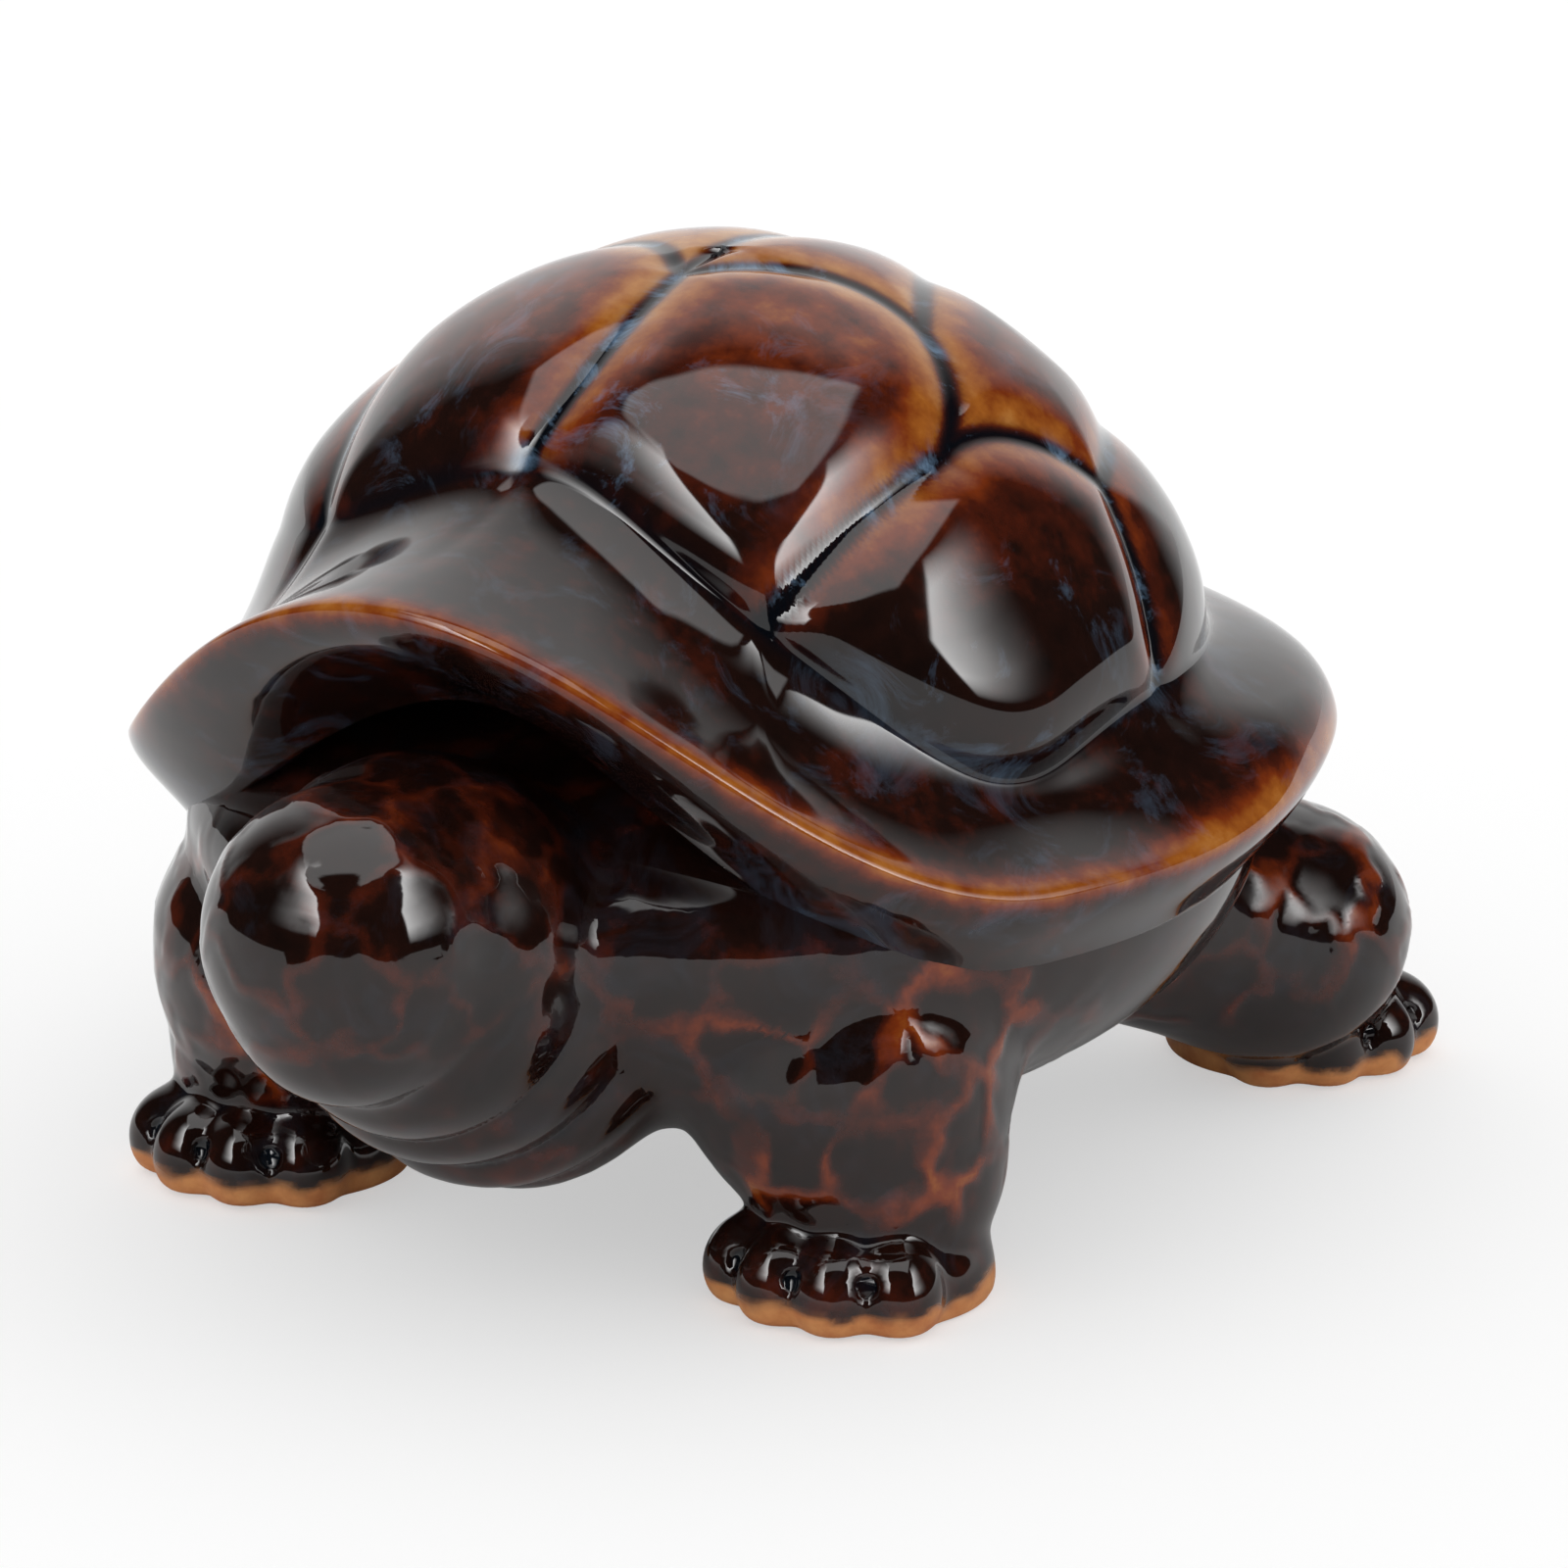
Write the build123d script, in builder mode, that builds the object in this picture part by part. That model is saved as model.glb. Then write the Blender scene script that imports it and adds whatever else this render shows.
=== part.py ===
"""A standing turtle ornament in glazed stoneware, cast as eight pieces and luted together with slip.

Millimetres, +Z up, head towards -Y, the turtle's left on +X. The origin is on the table under the middle
of the ornament. After firing nothing moves: each casting meets its neighbour face to face.
"""

import os
from math import asin, cos, degrees, radians, sin, sqrt

from build123d import *

# Carapace: an upright spheroid with a flared brim, whose rim is level at the sides and arched over the head
shell_axis_y = 2.0
dome_radius = 35.3
dome_half_height = 44.2
dome_centre_z = 18.9
shell_wall = 5.0
rim_overhang = 4.4
rim_arch_angle = 65.0
brim_top_arch_angle = 76.0
brim_hollow = 1.6
lip_height = 3.4
lip_arch_growth = 2.6
lip_setback = 1.6
brim_overlap = 1.5
brim_spans = 15

# Grooves between the scutes: a round-nosed tool run over the dome
groove_radius = 2.6
groove_depth = 0.9
meeting_growth = 0.3

# Heights of the brim as shares of the dome's half height
rim_share = 0.2353
rim_arch_share = 0.4253
brim_top_share = 0.4186
brim_top_arch_share = 0.3258

# Body: the trunk below the carapace and the core that fills it
body_overhang = 0.7
belly_depth = 20.0
shoulder_height = 9.0
belly_z = 5.0

# Head on a neck that is thicker than it, with a throat that hangs below the jaw
head_reach = 7.8
head_z = 27.8
head_radius = 9.4
jaw_radius = 6.8
jaw_drop = 4.6
neck_root_share = 0.722
neck_root_z = 19.0
neck_root_radius = 13.0
neck_reach = 0.6
neck_end_z = 25.8
neck_end_radius = 11.6
throat_drop = 7.4
throat_radius = 8.5

# Legs: a swollen thigh and a shin, standing on a paw with a row of toes
front_hip_z = 18.0
front_knee_z = 14.0
front_ankle_z = 6.5
front_hip_radius = 10.0
front_knee_radius = 10.6
front_ankle_radius = 8.8
front_paw_turn = -70.0
rear_hip_z = 16.0
rear_knee_z = 10.6
rear_ankle_z = 7.5
rear_hip_radius = 9.0
rear_knee_radius = 10.0
rear_ankle_radius = 7.5
rear_paw_turn = -25.0
paw_half_length = 8.2
paw_half_width = 8.8
paw_height = 7.0
paw_round = 4.4
toe_radius = 2.7
toe_height = 2.3
toe_spread = 27.0
toe_count = 4

# Tail
tail_root_z = 13.0
tail_tip_z = 6.2
tail_root_radius = 5.6
tail_tip_radius = 2.4

body_radius = dome_radius + body_overhang
body_centre_z = belly_z + belly_depth
rim_radius = dome_radius + rim_overhang
rim_z = dome_centre_z + rim_share * dome_half_height
rim_arch_rise = rim_arch_share * dome_half_height
brim_top_z = dome_centre_z + brim_top_share * dome_half_height
brim_top_arch_rise = brim_top_arch_share * dome_half_height
shell_axis = Axis((0, shell_axis_y, 0), (0, 0, 1))
shell_plane = Plane(origin=(0, shell_axis_y, 0), x_dir=(1, 0, 0), z_dir=(0, -1, 0))


def beside_body(side_share, back_share):
    """Place on the table plan: shares of the body's radius to the turtle's left and behind the shell's axis."""
    return (side_share * body_radius, shell_axis_y + back_share * body_radius)


def dome_radius_at(z):
    """Radius of the dome's outside at a height."""
    return dome_radius * sqrt(1 - ((z - dome_centre_z) / dome_half_height) ** 2)


def on_dome(bearing, share, lift=0.0):
    """Point over the dome: bearing from the front in degrees, distance from the axis as a share of the radius."""
    reach = share * dome_radius
    rise = dome_half_height * sqrt(1 - share**2)
    slope = Vector(reach / dome_radius**2, rise / dome_half_height**2).normalized()
    reach += lift * slope.X
    height = dome_centre_z + rise + lift * slope.Y
    return (reach * sin(radians(bearing)), shell_axis_y - reach * cos(radians(bearing)), height)


def arch(bearing, half_angle):
    """How far an arch over the head has risen at a bearing: 1 in the middle, 0 past its half angle."""
    if bearing >= half_angle:
        return 0.0
    return cos(radians(90 * bearing / half_angle)) ** 2


def brim_section(bearing):
    """Cross-section of the brim in the upright plane through the shell's axis at a bearing."""
    rise = arch(bearing, rim_arch_angle)
    thickness = lip_height + lip_arch_growth * rise
    top_z = brim_top_z + brim_top_arch_rise * arch(bearing, brim_top_arch_angle)
    edge_z = rim_z + rim_arch_rise * rise
    under_z = edge_z - thickness
    top = (dome_radius_at(top_z) - brim_overlap, top_z)
    ridge = (rim_radius, edge_z)
    dip = ((top[0] + ridge[0]) / 2, (top[1] + ridge[1]) / 2 - brim_hollow)
    lip = (rim_radius - lip_setback, under_z)
    nose = (rim_radius - lip_setback / 8, edge_z - thickness / 2)
    root = (dome_radius_at(under_z) - brim_overlap, under_z - thickness / 2)
    outward = (sin(radians(bearing)), -cos(radians(bearing)), 0)
    across = (-cos(radians(bearing)), -sin(radians(bearing)), 0)
    with BuildSketch(Plane(origin=(0, shell_axis_y, 0), x_dir=outward, z_dir=across)) as section:
        with BuildLine():
            ThreePointArc(top, dip, ridge)
            ThreePointArc(ridge, nose, lip)
            Line(lip, root)
            Line(root, top)
        make_face()
    return section.sketch


def half_spheroid_profile(radius, half_height, centre_z, floor_z):
    """Right half of an upright ellipse above a floor, ready to turn about the shell's axis."""
    floor_angle = degrees(asin((floor_z - centre_z) / half_height))
    floor_radius = radius * cos(radians(floor_angle))
    with BuildSketch(shell_plane) as profile:
        with BuildLine():
            EllipticalCenterArc((0, centre_z), radius, half_height, start_angle=floor_angle, arc_size=90 - floor_angle)
            Line((0, centre_z + half_height), (0, floor_z))
            Line((0, floor_z), (floor_radius, floor_z))
        make_face()
    return profile.sketch


def trunk_profile():
    """Right half of the trunk: a deep belly below its widest place and shallow shoulders above it."""
    with BuildSketch(shell_plane) as profile:
        with BuildLine():
            EllipticalCenterArc((0, body_centre_z), body_radius, belly_depth, start_angle=-90, arc_size=90)
            EllipticalCenterArc((0, body_centre_z), body_radius, shoulder_height, start_angle=0, arc_size=90)
            Line((0, body_centre_z + shoulder_height), (0, belly_z))
        make_face()
    return profile.sketch


def limb_profile(start, end, start_radius, end_radius):
    """Half outline of a limb: two round ends joined by their common tangent, along the limb's own axis."""
    along = Vector(*end) - Vector(*start)
    length = along.length
    normal_angle = 90 - degrees(asin((start_radius - end_radius) / length))
    side = along.cross(Vector(0, 0, 1)).normalized()
    with BuildSketch(Plane(origin=start, x_dir=along, z_dir=side)) as profile:
        with BuildLine():
            back = CenterArc((0, 0), start_radius, normal_angle, 180 - normal_angle)
            front = CenterArc((length, 0), end_radius, 0, normal_angle)
            Line(back @ 0, front @ 1)
            Line(back @ 1, front @ 0)
        make_face()
    return profile.sketch


# Where the grooves meet: bearing from the front, share of the dome's radius
brow = (0, 0.69)
crown = (0, 0.145)
shoulder = (37, 0.83)
flank_top = (72, 0.62)
top_side = (94, 0.41)
flank_back = (104, 0.73)
flank_foot = (94, 0.92)
back_top = (152, 0.44)
back_side = (137, 0.72)
back_foot = (155, 0.92)
spine_back = (180, 0.45)
spine_foot = (180, 0.92)

spine_grooves = [(brow, (0, 0.42), crown), (crown, (180, 0.15), spine_back), (spine_back, (180, 0.69), spine_foot)]
left_grooves = [
    (crown, (66, 0.25), top_side),
    (top_side, (79, 0.52), flank_top),
    (flank_top, (51, 0.70), shoulder),
    (flank_top, (86, 0.66), flank_back),
    (flank_back, (99, 0.83), flank_foot),
    (top_side, (128, 0.37), back_top),
    (back_top, (165, 0.45), spine_back),
    (back_top, (141, 0.58), back_side),
    (flank_back, (120, 0.71), back_side),
    (back_side, (148, 0.81), back_foot),
]
groove_meetings = sorted({place for groove in spine_grooves + left_grooves for place in (groove[0], groove[2])})

# Outlines that are turned about the shell's axis
core_radius = dome_radius - shell_wall
core_half_height = dome_half_height - shell_wall
trunk_outline = trunk_profile()
core_outline = half_spheroid_profile(core_radius, core_half_height, dome_centre_z, body_centre_z)
dome_outline = half_spheroid_profile(dome_radius, dome_half_height, dome_centre_z, body_centre_z)

# The two rounds that the body is made of, which its neighbours are fitted to
with BuildPart() as trunk:
    add(trunk_outline)
    revolve(axis=shell_axis)
with BuildPart() as core:
    add(core_outline)
    revolve(axis=shell_axis)

# Body: the trunk, and the core that the carapace sits over
with BuildPart() as body:
    with BuildSketch(shell_plane):
        add(trunk_outline)
        add(core_outline)
    revolve(axis=shell_axis)
body.part.label = "body"

# Half of the brim: its cross-section carried round from over the head to behind the tail
brim_step = 180 / brim_spans
brim_sections = [brim_section(brim_step * number) for number in range(brim_spans + 1)]
with BuildPart() as half_brim:
    loft(brim_sections)

# Tools that cut the grooves: a ball run along each groove, with a larger ball where grooves meet
tool_lift = groove_radius - groove_depth
groove_tools = []
for start, middle, end in spine_grooves + left_grooves:
    with BuildPart() as tool:
        with BuildLine() as run:
            ThreePointArc(on_dome(*start, tool_lift), on_dome(*middle, tool_lift), on_dome(*end, tool_lift))
        with BuildSketch(Plane(origin=run.line @ 0, z_dir=run.line % 0)):
            Circle(groove_radius)
        sweep(path=run.line)
    groove_tools.append(tool.part)
for place in groove_meetings:
    with BuildPart() as tool:
        with Locations(on_dome(*place, tool_lift)):
            Sphere(groove_radius + meeting_growth)
    groove_tools.append(tool.part)

# Carapace: the grooved dome and its brim in one casting, with its underside fitted to the body
with BuildPart() as carapace:
    add(dome_outline)
    revolve(axis=shell_axis)
    for tool in groove_tools:
        add(tool, mode=Mode.SUBTRACT)
        if tool.center().X > groove_radius:
            add(mirror(tool, about=Plane.YZ, mode=Mode.PRIVATE), mode=Mode.SUBTRACT)
    add(half_brim.part)
    add(mirror(half_brim.part, about=Plane.YZ, mode=Mode.PRIVATE))
    add(core.part, mode=Mode.SUBTRACT)
    add(trunk.part, mode=Mode.SUBTRACT)
carapace.part.label = "carapace"

# Head: a round skull with a lower jaw, on a thick neck that leaves the body under the arched rim
body_front_y = shell_axis_y - body_radius
neck_root = (*beside_body(0, -neck_root_share), neck_root_z)
neck_end = (0, body_front_y - neck_reach, neck_end_z)
throat_centre = (0, body_front_y - neck_reach, neck_end_z - throat_drop)
head_centre = (0, body_front_y - head_reach, head_z)
jaw_centre = (0, body_front_y - head_reach, head_z - jaw_drop)
neck_outline = limb_profile(neck_root, neck_end, neck_root_radius, neck_end_radius)
with BuildPart() as head:
    add(neck_outline)
    revolve(axis=Axis(neck_root, Vector(*neck_end) - Vector(*neck_root)))
    with Locations(throat_centre):
        Sphere(throat_radius)
    with Locations(head_centre):
        Sphere(head_radius)
    with Locations(jaw_centre):
        Sphere(jaw_radius)
    add(core.part, mode=Mode.SUBTRACT)
    add(trunk.part, mode=Mode.SUBTRACT)
    add(carapace.part, mode=Mode.SUBTRACT)
head.part.label = "head"


def paw_toes(paw, turn):
    """Places of the toes: spread evenly round the front of the paw."""
    first = turn - toe_spread * (toe_count - 1) / 2
    reach = paw_half_length - toe_radius / 2
    toes = []
    for number in range(toe_count):
        aim = radians(first + toe_spread * number)
        toes.append((paw[0] + reach * cos(aim), paw[1] + reach * sin(aim), toe_height))
    return toes


def leg(name, joints, radii, paw, turn):
    """One leg from hip over knee to ankle, with the paw that it stands on and its toes, cut flat at the sole."""
    hip, knee, ankle = joints
    thigh_outline = limb_profile(hip, knee, radii[0], radii[1])
    shin_outline = limb_profile(knee, ankle, radii[1], radii[2])
    with BuildPart() as thigh:
        add(thigh_outline)
        revolve(axis=Axis(hip, Vector(*knee) - Vector(*hip)))
    with BuildPart() as shin:
        add(shin_outline)
        revolve(axis=Axis(knee, Vector(*ankle) - Vector(*knee)))
    with BuildPart() as pad:
        with BuildSketch():
            with Locations(paw):
                Ellipse(paw_half_length, paw_half_width, rotation=turn)
        extrude(amount=paw_height)
        fillet(pad.edges().group_by(Axis.Z)[-1], paw_round)
    with BuildPart() as casting:
        add(thigh.part)
        add(shin.part)
        add(pad.part)
        with Locations(*paw_toes(paw, turn)):
            Sphere(toe_radius)
        split(bisect_by=Plane.XY, keep=Keep.TOP)
        add(trunk.part, mode=Mode.SUBTRACT)
        add(carapace.part, mode=Mode.SUBTRACT)
    casting.part.label = name
    return casting


front_hip = (*beside_body(0.431, -0.306), front_hip_z)
front_knee = (*beside_body(0.542, -0.458), front_knee_z)
front_ankle = (*beside_body(0.619, -0.500), front_ankle_z)
front_radii = (front_hip_radius, front_knee_radius, front_ankle_radius)
front_paw = beside_body(0.611, -0.494)
front_left_leg = leg("front_left_leg", (front_hip, front_knee, front_ankle), front_radii, front_paw, front_paw_turn)
rear_hip = (*beside_body(0.472, 0.556), rear_hip_z)
rear_knee = (*beside_body(0.700, 0.922), rear_knee_z)
rear_ankle = (*beside_body(0.667, 1.000), rear_ankle_z)
rear_radii = (rear_hip_radius, rear_knee_radius, rear_ankle_radius)
rear_paw = beside_body(0.650, 1.033)
rear_left_leg = leg("rear_left_leg", (rear_hip, rear_knee, rear_ankle), rear_radii, rear_paw, rear_paw_turn)
with BuildPart() as front_right_leg:
    add(mirror(front_left_leg.part, about=Plane.YZ, mode=Mode.PRIVATE))
front_right_leg.part.label = "front_right_leg"
with BuildPart() as rear_right_leg:
    add(mirror(rear_left_leg.part, about=Plane.YZ, mode=Mode.PRIVATE))
rear_right_leg.part.label = "rear_right_leg"

# Tail: a short cone that leaves the body below the rim
tail_root = (*beside_body(0, 0.861), tail_root_z)
tail_tip = (*beside_body(0, 1.300), tail_tip_z)
tail_outline = limb_profile(tail_root, tail_tip, tail_root_radius, tail_tip_radius)
with BuildPart() as tail:
    add(tail_outline)
    revolve(axis=Axis(tail_root, Vector(*tail_tip) - Vector(*tail_root)))
    add(core.part, mode=Mode.SUBTRACT)
    add(trunk.part, mode=Mode.SUBTRACT)
    add(carapace.part, mode=Mode.SUBTRACT)
tail.part.label = "tail"

os.makedirs("parts", exist_ok=True)
for piece in (body, carapace, head, front_left_leg, front_right_leg, rear_left_leg, rear_right_leg, tail):
    export_step(piece.part, f"parts/{piece.part.label}.step")
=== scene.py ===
# %% [markdown]
# # A turtle in kiln-change glaze
# The ornament is slip-cast stoneware: a shell, a body, a head, four legs and a tail, joined with slip and
# dipped in one iron-rich glaze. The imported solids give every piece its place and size; here each piece gets
# its softer, sculpted surface and its fired finish.

# %% Load the solids
import math

import bpy
import numpy as np
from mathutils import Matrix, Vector


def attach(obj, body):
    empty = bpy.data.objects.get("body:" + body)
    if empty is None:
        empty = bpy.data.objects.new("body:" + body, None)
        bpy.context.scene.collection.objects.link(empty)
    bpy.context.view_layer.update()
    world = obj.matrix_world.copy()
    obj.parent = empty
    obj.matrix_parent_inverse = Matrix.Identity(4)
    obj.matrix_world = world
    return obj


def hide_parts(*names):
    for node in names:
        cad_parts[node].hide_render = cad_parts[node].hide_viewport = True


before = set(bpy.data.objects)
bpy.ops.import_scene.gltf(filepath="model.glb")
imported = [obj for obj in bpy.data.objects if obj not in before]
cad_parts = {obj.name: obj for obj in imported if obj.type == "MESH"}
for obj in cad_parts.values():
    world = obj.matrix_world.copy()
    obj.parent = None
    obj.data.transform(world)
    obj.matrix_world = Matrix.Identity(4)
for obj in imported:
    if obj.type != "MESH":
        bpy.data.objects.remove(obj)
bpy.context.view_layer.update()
scene = bpy.context.scene
scene.view_settings.view_transform = "Standard"
MM = 0.001
print("solids:", sorted(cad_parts))

# %% [markdown]
# ## Camera
# The picture was taken from the turtle's front left, a little above the shell's rim. A short lens close by
# would show the same side, but it makes the near foot much larger than the far one. Here the far feet are
# nearly as large as the near ones, so a long lens far away was chosen.

# %% Camera
CAMERA_BEARING = 32.0
CAMERA_RISE = 18.0
CAMERA_DISTANCE = 560.0
CAMERA_TARGET = np.array((3.87, 3.30, 25.9))
CAMERA_LENS = 192.4
CAMERA_SENSOR = 36.0
CAMERA_NEAREST = 10.0


def direction(bearing, rise):
    """Unit vector from the turtle towards a place round it: 0 is ahead of the head, 90 its left side."""
    turn, lift = math.radians(bearing), math.radians(rise)
    return np.array((math.sin(turn) * math.cos(lift), -math.cos(turn) * math.cos(lift), math.sin(lift)))


bpy.ops.object.select_all(action="DESELECT")
bpy.ops.object.camera_add()
camera = bpy.context.object
camera.name = "camera"
camera.data.sensor_width = CAMERA_SENSOR
camera.data.lens = CAMERA_LENS
camera.data.clip_start = CAMERA_NEAREST * MM
towards_camera = direction(CAMERA_BEARING, CAMERA_RISE)
camera.location = Vector(CAMERA_TARGET + CAMERA_DISTANCE * towards_camera) * MM
camera.rotation_euler = Vector(-towards_camera).to_track_quat("-Z", "Y").to_euler()
scene.camera = camera
print("camera at", [round(value / MM, 1) for value in camera.location])

# %% [markdown]
# ## Carapace
# The shell is a tall dome of pillow-like scutes, with a brim that flares out, runs level along the sides and
# arches over the head. A sphere could be cut and pulled by hand, but grooves that cross it need even faces
# along every one of them. So a flat grid is wrapped round the shell instead: one way round it is the bearing,
# the other runs from the crown over the scutes, down the brim, round the lip and back up inside. A formula
# for the distance to the nearest groove then presses the grooves in.


# %% Tools for the shell
def set_points(mesh, points):
    """Move a mesh's points to places in millimetres."""
    mesh.vertices.foreach_set("co", (points * MM).ravel())
    mesh.update()


def store(mesh, name, values):
    """Keep a value per point, which the glaze reads."""
    kept = mesh.attributes.new(name, "FLOAT", "POINT")
    kept.data.foreach_set("value", np.clip(values, 0, 1).astype(np.float32))


def smooth_step(values, low, high):
    """0 below the low value, 1 above the high one, and a soft rise between."""
    share = np.clip((values - low) / (high - low), 0, 1)
    return share * share * (3 - 2 * share)


def hump(values, width):
    """1 at zero, falling away softly on both sides."""
    return np.exp(-(values / width) ** 2)


def mirrored(points):
    return points * np.array((-1, 1, 1))


# %% Dome, in millimetres
SHELL_AXIS = np.array((0.0, 2.0, 0.0))
DOME_RADIUS = 36.2
DOME_HALF_HEIGHT = 44.2
DOME_CENTRE = 18.9
dome_radii = np.array((DOME_RADIUS, DOME_RADIUS, DOME_HALF_HEIGHT))
dome_middle = SHELL_AXIS + (0, 0, DOME_CENTRE)


def dome_point(bearing, share):
    """Points on the dome without its relief, from bearings in degrees and shares of its radius."""
    bearing, share = np.radians(bearing), np.asarray(share, dtype=float)
    reach = DOME_RADIUS * share
    height = DOME_CENTRE + DOME_HALF_HEIGHT * np.sqrt(np.clip(1 - share**2, 0, 1))
    return SHELL_AXIS + np.stack((reach * np.sin(bearing), -reach * np.cos(bearing), height), axis=-1)


print("dome top:", dome_point(0, 0).round(1))

# %% [markdown]
# ### Grooves
# On the casting the grooves were drawn into the model with a round tool, from one meeting place to the next.
# Each is a curve through three places on the dome, named by bearing and by share of the dome's radius. The
# left side's grooves are mirrored for the right; only those on the spine are drawn once.

# %% Grooves
brow = (-4, 0.615)
crown = (0, 0.145)
shoulder = (37, 0.80)
flank_top = (72, 0.62)
top_side = (94, 0.41)
flank_back = (104, 0.73)
flank_foot = (94, 0.905)
back_top = (152, 0.44)
back_side = (137, 0.72)
back_foot = (155, 0.905)
spine_back = (180, 0.45)
spine_foot = (180, 0.905)
SPINE_GROOVES = [
    (brow, (0, 0.42), crown),
    (crown, (180, 0.15), spine_back),
    (spine_back, (180, 0.69), spine_foot),
]
SIDE_GROOVES = [
    (crown, (92, 0.20), top_side),
    (top_side, (83, 0.535), flank_top),
    (flank_top, (51, 0.70), shoulder),
    (flank_top, (88, 0.615), flank_back),
    (flank_back, (99, 0.83), flank_foot),
    (top_side, (128, 0.37), back_top),
    (back_top, (165, 0.45), spine_back),
    (back_top, (141, 0.58), back_side),
    (flank_back, (120, 0.71), back_side),
    (back_side, (148, 0.81), back_foot),
]
MARKS_ALONG_GROOVE = 70


def groove_line(start, middle, end):
    """Points along a groove, a curve over the dome through three places."""
    places = [dome_point(*place) for place in (start, middle, end)]
    lead = 2 * places[1] - (places[0] + places[2]) / 2
    share = np.linspace(0, 1, MARKS_ALONG_GROOVE)[:, None]
    curve = (1 - share) ** 2 * places[0] + 2 * share * (1 - share) * lead + share**2 * places[2]
    offset = (curve - dome_middle) / dome_radii
    offset /= np.linalg.norm(offset, axis=1)[:, None]
    return dome_middle + offset * dome_radii


left_lines = [groove_line(*groove) for groove in SIDE_GROOVES]
spine_lines = [groove_line(*groove) for groove in SPINE_GROOVES]
groove_marks = np.concatenate(spine_lines + left_lines + [mirrored(line) for line in left_lines])
print("groove marks:", len(groove_marks))

# %% [markdown]
# ### Crease
# The scutes end in a crease, and the brim starts below it. The crease rises over the head, sags under the
# large pillow of the near flank and lies higher on the far side, because the model was pressed by hand.

# %% Crease above the brim
ROUND_STEPS = 400
BRIM_TOP = 37.4
BRIM_TOP_ARCH = 16.2
BRIM_TOP_ARCH_ANGLE = 76.0
PILLOW = (66, 0.80)
PILLOW_SAG = 3.0
PILLOW_SAG_WIDTH = 15.0
FAR_SIDE_LIFT = 4.6
FAR_SIDE_WIDTH = 26.0


def arch(bearing, half_angle):
    """1 over the middle of the head, falling to 0 at a half angle."""
    share = np.clip(np.abs(bearing) / half_angle, 0, 1)
    return np.cos(share * np.pi / 2) ** 2


bearings = np.linspace(-180, 180, ROUND_STEPS + 1)
base_heights = BRIM_TOP + BRIM_TOP_ARCH * arch(bearings, BRIM_TOP_ARCH_ANGLE)
base_heights -= PILLOW_SAG * hump(bearings - PILLOW[0], PILLOW_SAG_WIDTH)
base_heights += FAR_SIDE_LIFT * hump(bearings + PILLOW[0], FAR_SIDE_WIDTH)
base_shares = np.sqrt(1 - ((base_heights - DOME_CENTRE) / DOME_HALF_HEIGHT) ** 2)
crease_marks = dome_point(bearings, base_shares)
print("crease from", base_heights.min().round(1), "to", base_heights.max().round(1), "mm high")

# %% [markdown]
# ### Scutes
# Each scute swells like a pillow because clay was pressed down along its edges. The depth at a point comes
# from its distance to the nearest groove and to the crease. The grooves are shallower on the crown and on the
# sides away from the picture, where the outline of the shell is smooth.

# %% Relief of the scutes
GROOVE_DEPTH = 1.5
CROWN_GROOVE_DEPTH = 0.8
CROWN_HEIGHTS = (46, 59)
FACING_BEARING = 30
FACING_SPREAD = (45, 75)
AWAY_GROOVE_LOSS = 0.45
GROOVE_SHOULDER = 5.0
GROOVE_BED = 0.4
GROOVE_CURVE = 2.6
CREASE_DEPTH = 2.2
CREASE_SHOULDER = 5.0
CREASE_CURVE = 2.2
CREASE_EVEN_SHARE = 0.66
CREASE_TURN = 20
CREASE_SIDES = (72, 105)
CREASE_SIDE_LOSS = 0.6
PILLOW_RISE = 0.5
PILLOW_REACH = 10.0
SCUTE_RISE = 0.3
SCUTE_EDGE = (1, 8)
SCUTE_CEILING = (57, 62)
MARK_BLOCK = 4000


def nearest(points, marks):
    """Distance from each point to the nearest of many marks."""
    result = np.empty(len(points))
    for first in range(0, len(points), MARK_BLOCK):
        block = points[first:first + MARK_BLOCK]
        square = (block**2).sum(1)[:, None] + (marks**2).sum(1) - 2 * block @ marks.T
        result[first:first + MARK_BLOCK] = np.sqrt(np.clip(square.min(1), 0, None))
    return result


def dome_relief(points):
    """Depth below the dome's outside, with the distances from the grooves and the crease."""
    groove, crease = nearest(points, groove_marks), nearest(points, crease_marks)
    height, offset = points[:, 2], points - SHELL_AXIS
    bearing = np.degrees(np.arctan2(offset[:, 0], -offset[:, 1]))
    depth = GROOVE_DEPTH + (CROWN_GROOVE_DEPTH - GROOVE_DEPTH) * smooth_step(height, *CROWN_HEIGHTS)
    depth *= 1 - AWAY_GROOVE_LOSS * smooth_step(np.abs(bearing - FACING_BEARING), *FACING_SPREAD)
    bed = np.sqrt(groove**2 + GROOVE_BED**2) - GROOVE_BED
    grooved = depth * np.clip(1 - bed / GROOVE_SHOULDER, 0, 1) ** GROOVE_CURVE
    depth = CREASE_DEPTH * (CREASE_EVEN_SHARE + (1 - CREASE_EVEN_SHARE) * np.tanh(bearing / CREASE_TURN))
    depth *= 1 - CREASE_SIDE_LOSS * smooth_step(np.abs(bearing), *CREASE_SIDES)
    creased = depth * np.clip(1 - crease / CREASE_SHOULDER, 0, 1) ** CREASE_CURVE
    relief = np.cbrt(grooved**3 + creased**3)
    from_pillow = np.linalg.norm(points - dome_point(*PILLOW), axis=1)
    relief -= PILLOW_RISE * hump(from_pillow, PILLOW_REACH)
    swell = smooth_step(np.minimum(groove, crease), *SCUTE_EDGE)
    relief -= SCUTE_RISE * swell * (1 - smooth_step(height, *SCUTE_CEILING))
    return relief, groove, crease


# %% Rings of the dome
DOME_ROWS = 120
FAR = np.full(len(bearings), 99.0)
rows, groove_rows, crease_rows, ridge_rows = [], [], [], []


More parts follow.
